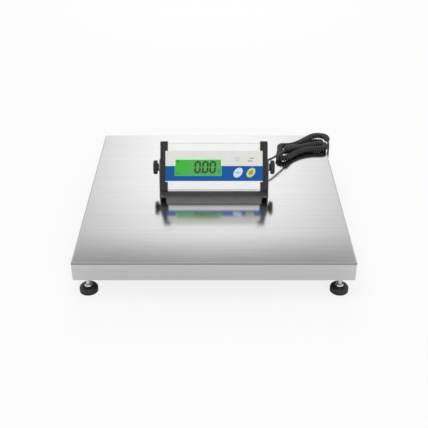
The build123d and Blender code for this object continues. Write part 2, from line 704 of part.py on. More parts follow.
def rear_shell():
    """The wrap-round back, open at both ends and in front, with its rear cut-outs."""
    length = SHELL_HALF_LENGTH
    shell = bar(section(), -length, length) - bar(section(-SHELL_WALL), -length - 1, length + 1)
    opening = FRONT_HALF_HEIGHT + SEAM
    shell -= block((-length - 1, -opening, -FRONT_SHEET), (length + 1, opening, 1))
    for side in (-1, 1):
        t0, t1 = sorted((side * (opening - 3), side * (SHELL_HALF_HEIGHT - SHELL_WALL + 0.5)))
        shell += block((-length, t0, -FRONT_SHEET - 3), (length, t1, -FRONT_SHEET))
        x0, x1 = sorted((side * (length - CAP_SCREW_LENGTH), side * length))
        for t, n in screw_bosses():
            shell += rod((x0, t, n), (x1, t, n), SCREW_BOSS_RADIUS)
            shell -= rod((x0 - 1, t, n), (x1 + 1, t, n), CAP_SCREW_RADIUS + RUNNING_GAP)
    back = -SHELL_DEPTH - 1
    wall = -SHELL_DEPTH + SHELL_WALL + 1
    shell -= block((DOOR_LEFT, -DOOR_HALF_HEIGHT, back), (DOOR_RIGHT, DOOR_HALF_HEIGHT, wall))
    shell -= block((DSUB_X - 10, DSUB_Y - 5.5, back), (DSUB_X + 10, DSUB_Y + 5.5, wall))
    shell -= rod((JACK_X, 0, back), (JACK_X, 0, wall), JACK_RADIUS + RUNNING_GAP)
    neck = (CORD_GLAND_X, CORD_GLAND_Y)
    return place(shell - rod((*neck, back), (*neck, wall), 5 + RUNNING_GAP))


def end_cap(side):
    """A moulded cap: a crowned plate over the end, with a lip and lugs round the corners."""
    outer = bar(section(CAP_LIP), SHELL_HALF_LENGTH, CAP_OUTER)
    outer = fillet(outer.faces().sort_by(Axis.X)[-1].edges(), CAP_CROWN)
    lug = bar(section(CAP_LIP), LUG_INNER, SHELL_HALF_LENGTH)
    lug -= bar(section(), LUG_INNER - 1, SHELL_HALF_LENGTH + 1)
    reach = SHELL_DEPTH + 5
    lug -= block((LUG_INNER - 1, -LUG_HEIGHT, -reach), (SHELL_HALF_LENGTH + 1, LUG_HEIGHT, 5))
    cap = outer + lug
    cap -= rod((0, 0, -PIVOT_DEPTH), (CAP_OUTER + 1, 0, -PIVOT_DEPTH), KNOB_SCREW_RADIUS + RUNNING_GAP)
    for t, n in screw_bosses():
        cap -= rod((SHELL_HALF_LENGTH - 1, t, n), (CAP_OUTER + 1, t, n), CAP_SCREW_RADIUS + RUNNING_GAP)
        cap -= rod((CAP_OUTER - CAP_HEAD_SINK, t, n), (CAP_OUTER + 1, t, n), CAP_HEAD_RADIUS + 0.2)
    if side < 0:
        cap = mirror(cap, Plane.YZ)
    return place(cap)


def cap_screws():
    """Four screws in each end cap, their heads sunk."""
    screws = []
    for side in (-1, 1):
        seat = side * (CAP_OUTER - CAP_HEAD_SINK)
        for t, n in screw_bosses():
            head = rod((seat, t, n), (seat + side * CAP_SCREW_HEAD, t, n), CAP_HEAD_RADIUS)
            end = seat - side * CAP_SCREW_LENGTH
            screws.append(head + rod((end, t, n), (seat, t, n), CAP_SCREW_RADIUS))
    return place(group(screws))


def label():
    """The printed overlay in its recess."""
    sheet = block(
        (-SHELL_HALF_LENGTH, LABEL_BOTTOM, -LABEL_SHEET), (SHELL_HALF_LENGTH, LABEL_TOP, 0)
    )
    sheet -= window_block(0.1, -1, 1)
    for x in (ZERO_KEY_X, UNIT_KEY_X):
        sheet -= key_prism(x, LOOSE_GAP, -1, 1)
    return place(sheet)


def lcd_stack():
    """The glass behind the window and the backlight behind the glass."""
    glass_back = -FRONT_SHEET - GLASS_SHEET
    glass = window_block(GLASS_MARGIN, glass_back, -FRONT_SHEET)
    light = window_block(GLASS_MARGIN, -BOARD_DEPTH, glass_back)
    return place(glass), place(light)


def key(x):
    """A key: the cap in its hole, a flange behind the front and a plunger over its dome."""
    flange = -FRONT_SHEET - 0.3
    cap = key_prism(x, 0, flange, KEY_PROUD)
    cap = chamfer(cap.faces().sort_by(Axis.Z)[-1].edges(), KEY_CHAMFER)
    cap += key_prism(x, 1.0, flange - KEY_FLANGE, flange)
    low = -BOARD_DEPTH + DOME_HEIGHT + KEY_CLEAR
    return place(cap + rod((x, KEY_Y, low), (x, KEY_Y, flange - KEY_FLANGE), KEY_STEM_RADIUS))


def key_domes():
    """The snap domes on the board under the keys."""
    base = (Align.CENTER, Align.CENTER, Align.MIN)
    dome = Cone(DOME_RADIUS, DOME_RADIUS - 2, DOME_HEIGHT, align=base)
    return place(group(Pos(x, KEY_Y, -BOARD_DEPTH) * dome for x in (ZERO_KEY_X, UNIT_KEY_X)))


def main_board():
    """The board across the housing, with a few tall parts on its back."""
    back = -BOARD_DEPTH - BOARD_SHEET
    left, right = SHELL_HALF_LENGTH - 6.2, SHELL_HALF_LENGTH - 2.2
    board = block((-left, -MAIN_BOARD_HALF, back), (right, MAIN_BOARD_HALF, -BOARD_DEPTH))
    for x, y, size in ((15 - left, 20, 8), (right - 30, 24, 6), (right - 16, -24, 7)):
        low = (x - size, y - size / 2, back - PART_HEIGHT)
        board += block(low, (x + size, y + size / 2, back))
    return place(board)


def battery_holder():
    """The tray for six cells, open towards the door; the shell's edge bears on its rim."""
    rim = -SHELL_DEPTH + SHELL_WALL
    side = DOOR_HALF_HEIGHT + HOLDER_WALL
    tray = block((DOOR_LEFT - 3, -side, rim), (DOOR_RIGHT + 3, side, -HOLDER_FLOOR))
    low = (DOOR_LEFT + HOLDER_WALL, -DOOR_HALF_HEIGHT, rim - 1)
    tray -= block(low, (DOOR_RIGHT - HOLDER_WALL, DOOR_HALF_HEIGHT, -HOLDER_FLOOR - HOLDER_WALL))
    return place(tray)


def battery_cells():
    """Six cells, in three rows of two."""
    depth = -HOLDER_FLOOR - HOLDER_WALL - CELL_RADIUS - 0.05
    cells = []
    for row in (-1, 0, 1):
        for start in (DOOR_LEFT + HOLDER_WALL + 1, (DOOR_LEFT + DOOR_RIGHT) / 2 + 0.5):
            y = row * (2 * CELL_RADIUS + 0.15)
            tip = start + BATTERY_LENGTH
            can = rod((start, y, depth), (tip - BATTERY_TIP, y, depth), CELL_RADIUS)
            cells.append(can + rod((tip - BATTERY_TIP, y, depth), (tip, y, depth), BATTERY_TIP_RADIUS))
    return place(group(cells))


def battery_door():
    """The door in the back, flush, with a thumb recess."""
    gap = LOOSE_GAP
    low = (DOOR_LEFT + gap, -DOOR_HALF_HEIGHT + gap, -SHELL_DEPTH)
    high = (DOOR_RIGHT - gap, DOOR_HALF_HEIGHT - gap, -SHELL_DEPTH + SHELL_WALL)
    door = block(low, high)
    thumb = DOOR_LEFT + THUMB_INSET
    door -= rod((thumb, 0, -SHELL_DEPTH - 1), (thumb, 0, -SHELL_DEPTH + 1), THUMB_RADIUS)
    return place(door)


def serial_connector():
    """A nine-way connector: flange, D-shaped shell, body and two screw posts."""
    back = -SHELL_DEPTH
    body = block((DSUB_X - 15.4, DSUB_Y - 6.2, back - 0.8), (DSUB_X + 15.4, DSUB_Y + 6.2, back))
    body += block((DSUB_X - 9.5, DSUB_Y - 5, back), (DSUB_X + 9.5, DSUB_Y + 5, back + 10))
    shell = Polygon((-7.3, -4.1), (7.3, -4.1), (8.5, 4.1), (-8.5, 4.1), align=None)
    shell = fillet(shell.vertices(), 1.5)
    body += Pos(DSUB_X, DSUB_Y, back - 6) * extrude(shell, 6)
    body -= Pos(DSUB_X, DSUB_Y, back - 7) * extrude(offset(shell, amount=-0.7), 4)
    for side in (-1, 1):
        spot = DSUB_X + side * 12.5
        body += Pos(spot, DSUB_Y, back - 5) * extrude(RegularPolygon(2.7, 6), 5)
    return place(body)


def power_jack():
    """The round jack for the mains adaptor, with its centre pin."""
    back = -SHELL_DEPTH
    body = rod((JACK_X, 0, back - 2), (JACK_X, 0, back), JACK_RIM)
    body += rod((JACK_X, 0, back), (JACK_X, 0, back + 10), JACK_RADIUS)
    body -= rod((JACK_X, 0, back - 3), (JACK_X, 0, back + 7), JACK_BORE)
    return place(body + rod((JACK_X, 0, back - 1), (JACK_X, 0, back + 8), 1.0))


def cord_gland():
    """The tapered, ribbed strain relief at the back of the indicator."""
    x, y, back = CORD_GLAND_X, CORD_GLAND_Y, -SHELL_DEPTH
    body = rod((x, y, back - 2), (x, y, back), 7) + rod((x, y, back), (x, y, back + 6), 5)
    base = (Align.CENTER, Align.CENTER, Align.MIN)
    body += Pos(x, y, back - CORD_GLAND_LENGTH) * Cone(3.4, 5.2, CORD_GLAND_LENGTH - 2, align=base)
    for step in range(3):
        low = back - 5 - 3 * step
        body -= rod((x, y, low), (x, y, low + 1), 7) - rod((x, y, low), (x, y, low + 1), 3.2)
    return place(body - rod((x, y, back - CORD_GLAND_LENGTH - 1), (x, y, back + 7), CORD_RADIUS + 0.1))


def bracket():
    """The folded bracket: a web that lies on the pan and an ear on each side."""
    plan = Polygon(
        (-BRACKET_FRONT_HALF, BRACKET_FRONT_Y), (BRACKET_FRONT_HALF, BRACKET_FRONT_Y),
        (BRACKET_NECK_HALF, BRACKET_SHOULDER_Y), (EAR_OUTER, BRACKET_SHOULDER_Y),
        (EAR_OUTER, BRACKET_REAR_Y), (-EAR_OUTER, BRACKET_REAR_Y),
        (-EAR_OUTER, BRACKET_SHOULDER_Y), (-BRACKET_NECK_HALF, BRACKET_SHOULDER_Y), align=None,
    )
    plan = fillet(plan.vertices().group_by(Axis.Y)[0], BRACKET_CORNER)
    body = Pos(0, 0, PAN_TOP) * extrude(plan, BRACKET_SHEET)
    leg = Polygon(
        (LEG_FRONT_Y, PAN_TOP), (BRACKET_REAR_Y, PAN_TOP),
        (PIVOT_Y + EAR_RADIUS * 0.98, PIVOT_Z - 3), (PIVOT_Y - EAR_RADIUS * 0.98, PIVOT_Z - 3),
        align=None,
    )
    leg += Pos(PIVOT_Y, PIVOT_Z) * Circle(EAR_RADIUS)
    leg -= Pos(PIVOT_Y, PIVOT_Z) * Circle(KNOB_SCREW_RADIUS + LOOSE_GAP)
    for side in (-1, 1):
        x0, x1 = sorted((side * EAR_INNER, side * EAR_OUTER))
        body += extrude(Plane.YZ.offset(x0) * leg, x1 - x0, dir=(1, 0, 0))
        slot = Pos(side * SLOT_X, BRACKET_REAR_Y - SLOT_INSET, PAN_TOP - 1)
        body -= slot * extrude(SlotOverall(SLOT_LENGTH, 2 * SLOT_RADIUS), BRACKET_SHEET + 2)
    folds = [
        e for e in body.edges().filter_by(Axis.Y)
        if abs(e.center().Z - PAN_TOP) < 0.1 and abs(e.center().X) > EAR_INNER
    ]
    return fillet(folds, BRACKET_BEND)


def on_pivot(solid, side, reach):
    """From a frame whose Z points out of the pivot on one side."""
    return Location(Plane(origin=(side * reach, PIVOT_Y, PIVOT_Z), z_dir=(side, 0, 0))) * solid


def washer(side):
    ring = rod((0, 0, 0), (0, 0, WASHER), WASHER_RADIUS)
    ring -= rod((0, 0, -1), (0, 0, WASHER + 1), KNOB_SCREW_RADIUS + LOOSE_GAP)
    return on_pivot(ring, side, EAR_OUTER)


def knob(side):
    """A fluted knob with its neck and screw."""
    head = rod((0, 0, KNOB_NECK), (0, 0, KNOB_NECK + KNOB_HEAD), KNOB_RADIUS)
    head = fillet(head.edges().sort_by(Axis.Z)[-1], KNOB_EDGE)
    head = fillet(head.edges().sort_by(Axis.Z)[0], KNOB_HEEL)
    for hollow in PolarLocations(KNOB_RADIUS + 0.9, KNOB_LOBES):
        head -= hollow * rod((0, 0, 0), (0, 0, KNOB_NECK + KNOB_HEAD + 1), KNOB_FLUTE)
    body = head + rod((0, 0, 0), (0, 0, KNOB_NECK), KNOB_NECK_RADIUS)
    body += rod((0, 0, -KNOB_SCREW_LENGTH), (0, 0, 0), KNOB_SCREW_RADIUS)
    return on_pivot(body, side, EAR_OUTER + WASHER)


def gland_mouth():
    """Where the lead leaves the indicator's strain relief, and a point straight out of it."""
    tip = FACE * Pos(CORD_GLAND_X, CORD_GLAND_Y, -SHELL_DEPTH - CORD_GLAND_LENGTH)
    far = FACE * Pos(CORD_GLAND_X, CORD_GLAND_Y, -SHELL_DEPTH - CORD_GLAND_LENGTH - LEAD_STUB)
    return tuple(tip.position), tuple(far.position)


for name, x_side, y_side in corners():
    save(f"load_cell_{name}", load_cell(x_side, y_side))
    save(f"foot_pad_{name}", foot_pad(x_side * FOOT, y_side * CHANNEL_Y))
    save(f"foot_stud_{name}", foot_stud(x_side * FOOT, y_side * CHANNEL_Y))

save("pan", pan())
save("front_channel", end_channel(-1))
save("rear_channel", end_channel(1))
save("side_member_left", side_member(-1))
save("side_member_right", side_member(1))
save("cross_members", group(cross_member(y) for y in (CROSS_FRONT_Y, CROSS_REAR_Y)))
save("cell_spacers", group(cell_spacer(x, y) for _, x, y in corners()))
save(
    "cell_bolts",
    group(cell_bolt(x * (FOOT - o), y * CHANNEL_Y) for _, x, y in corners() for o in BOLT_OFFSETS),
)
save("lock_nuts", group(lock_nut(x * FOOT, y * CHANNEL_Y) for _, x, y in corners()))
save("pan_rubbers", pan_rubbers())
save("pan_studs", pan_studs())
save("pan_nuts", pan_nuts())
save("summing_box", summing_box())
save("summing_box_lid", box_lid())
save("lid_screws", lid_screws())
save("box_screws", box_screws())
save("summing_board", summing_board())
save("box_gland", box_gland())
save("cell_leads", group(cell_lead(*c) for c in corners()))

glass, light = lcd_stack()
save("bracket", bracket())
save("front_shell", front_shell())
save("rear_shell", rear_shell())
save("label", label())
save("lcd_window", place(window_block(0, -WINDOW_SHEET, 0)))
save("lcd_glass", glass)
save("backlight", light)
save("main_board", main_board())
save("key_domes", key_domes())
save("zero_key", key(ZERO_KEY_X))
save("unit_key", key(UNIT_KEY_X))
save("cap_screws", cap_screws())
save("battery_holder", battery_holder())
save("battery_cells", battery_cells())
save("battery_door", battery_door())
save("serial_connector", serial_connector())
save("power_jack", power_jack())
save("cord_gland", cord_gland())
for name, side in (("left", -1), ("right", 1)):
    save(f"end_cap_{name}", end_cap(side))
    save(f"washer_{name}", washer(side))
    save(f"knob_{name}", knob(side))

lead = [*gland_mouth(), *LEAD_POINTS]
save("cord_lead", tube(lead, CORD_RADIUS, "lead"))
save("cord_coil", tube(COIL_POINTS, COIL_RADIUS, "coil"))
save("cord_tail", tube(TAIL_POINTS, CORD_RADIUS, "tail"))
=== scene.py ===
# Bench platform scale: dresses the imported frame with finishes, display, legends and its cable.
import json
from math import cos, radians, sin, tau

import bmesh
import bpy
from mathutils import Matrix, Vector


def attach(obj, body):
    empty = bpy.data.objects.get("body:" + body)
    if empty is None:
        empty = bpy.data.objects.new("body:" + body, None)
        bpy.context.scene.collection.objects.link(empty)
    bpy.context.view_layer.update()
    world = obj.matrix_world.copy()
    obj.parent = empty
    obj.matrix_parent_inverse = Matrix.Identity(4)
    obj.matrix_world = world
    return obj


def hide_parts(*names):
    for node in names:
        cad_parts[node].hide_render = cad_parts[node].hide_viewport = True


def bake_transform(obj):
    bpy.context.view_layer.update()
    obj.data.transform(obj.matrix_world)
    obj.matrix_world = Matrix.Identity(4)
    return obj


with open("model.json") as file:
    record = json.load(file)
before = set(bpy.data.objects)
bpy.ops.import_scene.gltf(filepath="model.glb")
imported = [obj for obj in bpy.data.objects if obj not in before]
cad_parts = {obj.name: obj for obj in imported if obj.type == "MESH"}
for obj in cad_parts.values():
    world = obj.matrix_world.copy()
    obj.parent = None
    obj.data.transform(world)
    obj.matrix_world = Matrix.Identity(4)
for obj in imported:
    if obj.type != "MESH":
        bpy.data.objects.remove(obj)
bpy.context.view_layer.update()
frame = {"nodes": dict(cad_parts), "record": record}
nodes = frame["nodes"]
MM = 0.001

# Camera, from the outline of the pan in the photograph
CAMERA_PLACE = (0.0, -1.281, 0.8363)
CAMERA_PITCH = 57.5
CAMERA_LENS = 61.86
SENSOR = 36.0

# The indicator's face: its centre, tilt, and directions up it and out of it
FACE_CENTRE = Vector((0.0, -5.3, 135.2)) * MM
FACE_TILT = radians(34.4)
FACE_UP = Vector((0.0, sin(FACE_TILT), cos(FACE_TILT)))
FACE_OUT = Vector((0.0, -cos(FACE_TILT), sin(FACE_TILT)))
FACE_MATRIX = Matrix.Translation(FACE_CENTRE) @ Matrix(
    ((1, 0, 0), (0, FACE_UP.y, FACE_OUT.y), (0, FACE_UP.z, FACE_OUT.z))
).to_4x4()

# Cable, in millimetres: the wire, the coil's outer radius and pitch, and the points on each turn
WIRE_RADIUS = 2.3
COIL_RADIUS = 6.8
COIL_PITCH = 4.75
TURN_POINTS = 12
# The coil grows from its line over its first pitches, winding at a share of the full rate at first
EASE_TURNS = 2.0
EASE_RATE = 0.3
# The cable's gland on the housing's back, in the face's own directions, and the length of its straight
# stub
GLAND = (74.0, 15.0, -54.0)
LEAD_STUB = 20.0
# The cable's route: the part's points, moved by up to 10 mm where the photograph asks for it
LEAD_ROUTE = [(98, 74, 103.5), (114, 80, 103), (128, 96, 102), (141, 115, 101), (152, 131, 99.5)]
COIL_ROUTE = [
    (152, 131, 99.5), (161, 147, 98.5), (174, 161, 91), (192, 174, 85), (208, 183, 84.5),
    (224, 190, 84.5), (246, 193, 84.5), (248, 168, 84.5), (224, 168, 84.5), (206, 165, 84.5),
    (187, 156, 84.5), (170, 141, 84.5), (156, 122, 84.5), (139, 124, 84.5), (142, 143, 84.5),
    (146, 160, 84.5), (146, 183, 84.5), (168, 181, 84.5), (184, 190, 84.5), (197, 202, 84.5),
    (211, 217, 84.5), (225, 231, 84.5), (242, 234, 85), (254, 223, 86), (254.5, 208, 88),
    (254.5, 198, 88.5),
]
TAIL_ROUTE = [
    (255.3, 192, 88), (255.8, 187.5, 80), (255.4, 184, 64), (255, 181, 48), (254.5, 180, 34),
    (247.5, 176, 26), (234, 170, 30), (214, 160, 42), (190, 148, 53), (166, 136, 57),
    (166, 100, 57),
]
# Points of the finished tube between two points of its route, and of the coil's line before it winds
TUBE_STEPS = 3
LINE_STEPS = 24

# The label's blue band, from its top down to its low edge, in millimetres up the face
BAND_TOP = 1.2
BAND_LOW = -28.8

# The sheet's gloss, and its falls near the folds: axis, where each starts and ends across the
# sheet's box (0 to 1), and how deep it gets, in millimetres
PAN_ROUGHNESS = (0.09, 0.16)
PAN_FALLS = [("X", 0.18, 0.0, 0.7), ("X", 0.82, 1.0, 0.7), ("Y", 0.19, 0.0, 1.6)]

# On the face, in millimetres: the window (left, right, low, high), its border, the digits
# (height, width and stroke in DIGIT_SIZE), the keys, and the shells' seam lines
WINDOW = (-78.0, 15.6, -19.0, 14.9)
BORDER_WIDTH = 1.6
DIGIT_X = (-33.0, -17.8, -3.2)
DIGIT_Y = -1.4
DIGIT_SIZE = (20.5, 9.2, 3.9)
ZERO = ("top", "upper_left", "upper_right", "lower_left", "lower_right", "bottom")
KEYS = {"zero": (47.4, -12.5), "unit": (72.9, -12.5)}
SEAM_AT = 45.5
SEAM_REACH = 91.0
SEAM_WIDTH = 0.8

# Back and front of each flat piece, in millimetres out of the face
FIGURES_LAYER = (-2.98, -2.9)
BORDER_LAYER = (-2.98, -1.6)
PRINT_LAYER = (-0.02, 0.06)
SEAM_LAYER = (-0.02, 0.05)
KEY_PRINT_LAYER = (0.98, 1.06)
KEY_MARK_LAYER = (0.98, 1.08)
KEY_RIM_LAYER = (0.96, 1.03)

# The room: a bright patch and a dark one (direction, squeeze along X, then the nearest and
# farthest distance and the level at each), the levels that gloss meets from the horizon (0) to
# straight up (1), and the light on matt surfaces
GLOW = ((0.0, 0.88, 0.475), 1.0, (0.04, 0.27, 0.62, 0.0))
FLAG = ((0.0, 0.74, 0.67), 0.35, (0.02, 0.2, -0.37, 0.0))
ROOM_LEVELS = [(0.0, 0.95), (0.5, 0.86), (0.7, 0.7), (1.0, 0.8)]
AMBIENT = 0.4

# The floor's half width in metres, and how far it shows as plain white in gloss and to the camera
FLOOR_REACH = 6.0
FLOOR_IN_GLOSS = 0.1
FLOOR_SEEN = 0.82

# Lamps: place, target, size and power
LAMPS = {
    "rear_softbox": ((0.0, 2.2, 1.5), (0, 0, 0.08), (1.6, 1.1), 26),
    "top_softbox": ((-0.4, -0.5, 2.0), (0, 0, 0.1), (1.6, 1.6), 16),
    "front_softbox": ((0.8, -2.0, 1.0), (0, 0, 0.1), (1.4, 1.0), 18),
}


def link(obj):
    bpy.context.scene.collection.objects.link(obj)
    return obj


def on_face(x, t, n):
    """A point given on the indicator's face, in millimetres."""
    return FACE_MATRIX @ (Vector((x, t, n)) * MM)


def make_camera():
    data = bpy.data.cameras.new("camera")
    data.lens = CAMERA_LENS
    data.sensor_width = SENSOR
    camera = link(bpy.data.objects.new("camera", data))
    camera.location = CAMERA_PLACE
    camera.rotation_euler = (radians(CAMERA_PITCH), 0, 0)
    bpy.context.scene.camera = camera


def nurbs(name, points, resolution):
    """A curve of one smooth open spline through the run of the points, in metres."""
    curve = bpy.data.curves.new(name, "CURVE")
    curve.dimensions = "3D"
    spline = curve.splines.new("NURBS")
    spline.points.add(len(points) - 1)
    for spot, point in zip(spline.points, points):
        spot.co = (*point, 1.0)
    spline.order_u = 3
    spline.use_endpoint_u = True
    spline.resolution_u = resolution
    return link(bpy.data.objects.new(name, curve))


def mesh_of(guide, name):
    """The mesh that a curve makes, kept in place of the curve."""
    bpy.context.view_layer.update()
    mesh = bpy.data.meshes.new_from_object(guide)
    mesh.name = name
    return mesh


def line_of(guide):
    """Points along a curve that has no thickness."""
    mesh = mesh_of(guide, "line")
    line = [v.co.copy() for v in mesh.vertices]
    bpy.data.meshes.remove(mesh)
    return line


def helix(line, radius, pitch):
    """Points that wind round a line, easing in and out of it at its ends."""
    across = (line[1] - line[0]).cross(Vector((0, 0, 1))).normalized()
    lengths = [(b - a).length for a, b in zip(line, line[1:])]
    total = sum(lengths)
    turns = round(total / pitch)
    count = turns * TURN_POINTS
    points, done, index, turn = [], 0.0, 0, 0.0
    for step in range(count + 1):
        want = total * step / count
        grown = min(1.0, min(step, count - step) / (EASE_TURNS * TURN_POINTS))
        while index < len(lengths) - 1 and done + lengths[index] < want:
            done += lengths[index]
            index += 1
        along = (line[index + 1] - line[index]).normalized()
        across = (across - along * across.dot(along)).normalized()
        spot = line[index] + along * (want - done)
        turn += tau / TURN_POINTS * (EASE_RATE + (1 - EASE_RATE) * grown)
        reach = radius * grown
        points.append(spot + (across * cos(turn) + along.cross(across) * sin(turn)) * reach)
    return points


def make_cord():
    """The whole cable in one run: a straight lead, the hank of curly cord, a straight tail."""
    lead = [on_face(*GLAND), on_face(GLAND[0], GLAND[1], GLAND[2] - LEAD_STUB)]
    lead += [Vector(p) * MM for p in LEAD_ROUTE]
    tail = [Vector(p) * MM for p in TAIL_ROUTE]
    hank = nurbs("hank", [Vector(p) * MM for p in COIL_ROUTE], LINE_STEPS)
    coil = helix(line_of(hank), (COIL_RADIUS - WIRE_RADIUS) * MM, COIL_PITCH * MM)
    route = nurbs("route", lead + coil[1:] + tail, TUBE_STEPS)
    path = line_of(route)
    route.data.bevel_depth = WIRE_RADIUS * MM
    route.data.bevel_resolution = 2
    cord = link(bpy.data.objects.new("coiled_cable", mesh_of(route, "coiled_cable")))
    bpy.data.objects.remove(hank)
    bpy.data.objects.remove(route)
    cord.data.materials.append(MATERIALS["cord_black"])
    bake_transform(cord)
    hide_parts("cord_lead", "cord_coil", "cord_tail")


class Finish:
    """One node material, built up by small steps."""

    def __init__(self, name, color, roughness, metallic=0.0, specular=0.5):
        self.material = bpy.data.materials.new(name)
        self.material.use_nodes = True
        self.tree = self.material.node_tree
        self.shader = self.tree.nodes["Principled BSDF"]
        self.place = self.node("ShaderNodeTexCoord").outputs["Object"]
        self.shader.inputs["Base Color"].default_value = (*color, 1)
        self.shader.inputs["Roughness"].default_value = roughness
        self.shader.inputs["Metallic"].default_value = metallic
        self.shader.inputs["Specular IOR Level"].default_value = specular

    def node(self, kind, **values):
        made = self.tree.nodes.new(kind)
        for key, value in values.items():
            setattr(made, key, value)
        return made

    def join(self, source, target):
        self.tree.links.new(source, target)

    def noise(self, scale, stretch=(1, 1, 1), detail=4.0):
        """A noise pattern, its features about 1 / scale metres long, squeezed along each axis."""
        mapping = self.node("ShaderNodeMapping")
        mapping.inputs["Scale"].default_value = stretch
        pattern = self.node("ShaderNodeTexNoise")
        pattern.inputs["Scale"].default_value = scale
        pattern.inputs["Detail"].default_value = detail
        self.join(self.place, mapping.inputs["Vector"])
        self.join(mapping.outputs["Vector"], pattern.inputs["Vector"])
        return pattern.outputs["Fac"]

    def span(self, value, low, high, from_low=0.3, from_high=0.7):
        """A pattern's value carried to the range low to high."""
        ranged = self.node("ShaderNodeMapRange")
        limits = {"From Min": from_low, "From Max": from_high, "To Min": low, "To Max": high}
        for key, number in limits.items():
            ranged.inputs[key].default_value = number
        self.join(value, ranged.inputs["Value"])
        return ranged.outputs["Result"]

    def blend(self, factor, first, second):
        """Two colours or sockets mixed by a factor."""
        mix = self.node("ShaderNodeMix", data_type="RGBA")
        self.join(factor, mix.inputs["Factor"])
        for socket, value in ((mix.inputs["A"], first), (mix.inputs["B"], second)):
            if isinstance(value, tuple):
                socket.default_value = (*value, 1)
            else:
                self.join(value, socket)
        return mix.outputs["Result"]

    def paint(self, socket):
        self.join(socket, self.shader.inputs["Base Color"])
        return self

    def vary(self, first, second, scale, stretch=(1, 1, 1)):
        """Colour drifting between two tones."""
        return self.paint(self.blend(self.span(self.noise(scale, stretch), 0, 1), first, second))

    def rough(self, low, high, scale, stretch=(1, 1, 1)):
        self.join(self.span(self.noise(scale, stretch), low, high), self.shader.inputs["Roughness"])
        return self

    def bump(self, scale, height, stretch=(1, 1, 1), detail=3.0):
        """Relief of a height in metres."""
        relief = self.node("ShaderNodeBump")
        relief.inputs["Strength"].default_value = 1.0
        relief.inputs["Distance"].default_value = height
        self.join(self.noise(scale, stretch, detail), relief.inputs["Height"])
        self.join(relief.outputs["Normal"], self.shader.inputs["Normal"])
        return self


def moulded(name, tone, roughness, grain=2500.0, depth=0.00003, drift=0.12):
    """Moulded plastic or paint: a little drift in tone and gloss, and a fine grain."""
    second = tuple(min(1.0, c * (1 + drift) + 0.002) for c in tone)
    finish = Finish(name, tone, roughness).vary(tone, second, 60)
    return finish.rough(roughness - 0.06, roughness + 0.08, 90).bump(grain, depth).material


def ink(name, tone, roughness=0.4):
    """A printed or moulded-in mark, nearly flat."""
    return moulded(name, tone, roughness, depth=0.000004)


def metal(name, tone, roughness, stretch=(1, 1, 1)):
    """Bare metal, with tool or rolling marks along one axis."""
    second = tuple(c * 0.9 for c in tone)
    finish = Finish(name, tone, roughness, metallic=1.0).vary(tone, second, 40, stretch)
    return finish.rough(roughness * 0.8, roughness * 1.3, 60, stretch).bump(400, 0.00001, stretch).material


def brushed_pan():
    """Brushed stainless sheet: fine marks and broader streaks along X, and falling folds darkened with
    painted shade.
    """
    fine, broad = (4, 900, 900), (1.2, 110, 110)
    finish = Finish("brushed_pan", (0.62, 0.62, 0.62), 0.2, metallic=1.0)
    marks = finish.span(finish.noise(3, fine, 6.0), 0, 1)
    streaks = finish.span(finish.noise(3, broad, 3.0), 0, 1)
    dull = finish.blend(marks, (0.565, 0.565, 0.567), (0.64, 0.64, 0.642))
    bright = finish.blend(marks, (0.605, 0.605, 0.607), (0.68, 0.68, 0.682))
    tone = finish.blend(streaks, dull, bright)

    # Painted shade: the rounded folds, where the normal leans between upright and level, take a darker
    # tone standing in for the dim reflection there
    upward = finish.node("ShaderNodeSeparateXYZ")
    finish.join(finish.node("ShaderNodeTexCoord").outputs["Normal"], upward.inputs[0])
    fold = finish.node("ShaderNodeMath", operation="PINGPONG")
    fold.inputs[1].default_value = 0.5
    finish.join(upward.outputs["Z"], fold.inputs[0])
    fold_painted_shade = finish.span(fold.outputs[0], 0, 1, 0.03, 0.2)
    finish.paint(finish.blend(fold_painted_shade, tone, (0.30, 0.30, 0.302)))
    finish.rough(*PAN_ROUGHNESS, 3, fine)
    finish.bump(3, 0.000012, fine, 6.0)

    # Squared falls towards the folds, added up and laid under the fine relief
    fall = finish.node("ShaderNodeBump")
    fall.inputs["Strength"].default_value = 1.0
    fall.inputs["Distance"].default_value = 1.0
    split = finish.node("ShaderNodeSeparateXYZ")
    finish.join(finish.node("ShaderNodeTexCoord").outputs["Generated"], split.inputs[0])
    heights = []
    for axis, start, end, drop in PAN_FALLS:
        share = finish.span(split.outputs[axis], 0, 1, start, end)
        curve = finish.node("ShaderNodeMath", operation="POWER")
        curve.inputs[1].default_value = 2.0
        depth = finish.node("ShaderNodeMath", operation="MULTIPLY")
        depth.inputs[1].default_value = -drop * MM
        finish.join(share, curve.inputs[0])
        finish.join(curve.outputs[0], depth.inputs[0])
        heights.append(depth.outputs[0])
    total = heights[0]
    for height in heights[1:]:
        add = finish.node("ShaderNodeMath", operation="ADD")
        finish.join(total, add.inputs[0])
        finish.join(height, add.inputs[1])
        total = add.outputs[0]
    finish.join(total, fall.inputs["Height"])
    finish.join(finish.shader.inputs["Normal"].links[0].from_socket, fall.inputs["Normal"])
    finish.join(fall.outputs["Normal"], finish.shader.inputs["Normal"])
    return finish.material


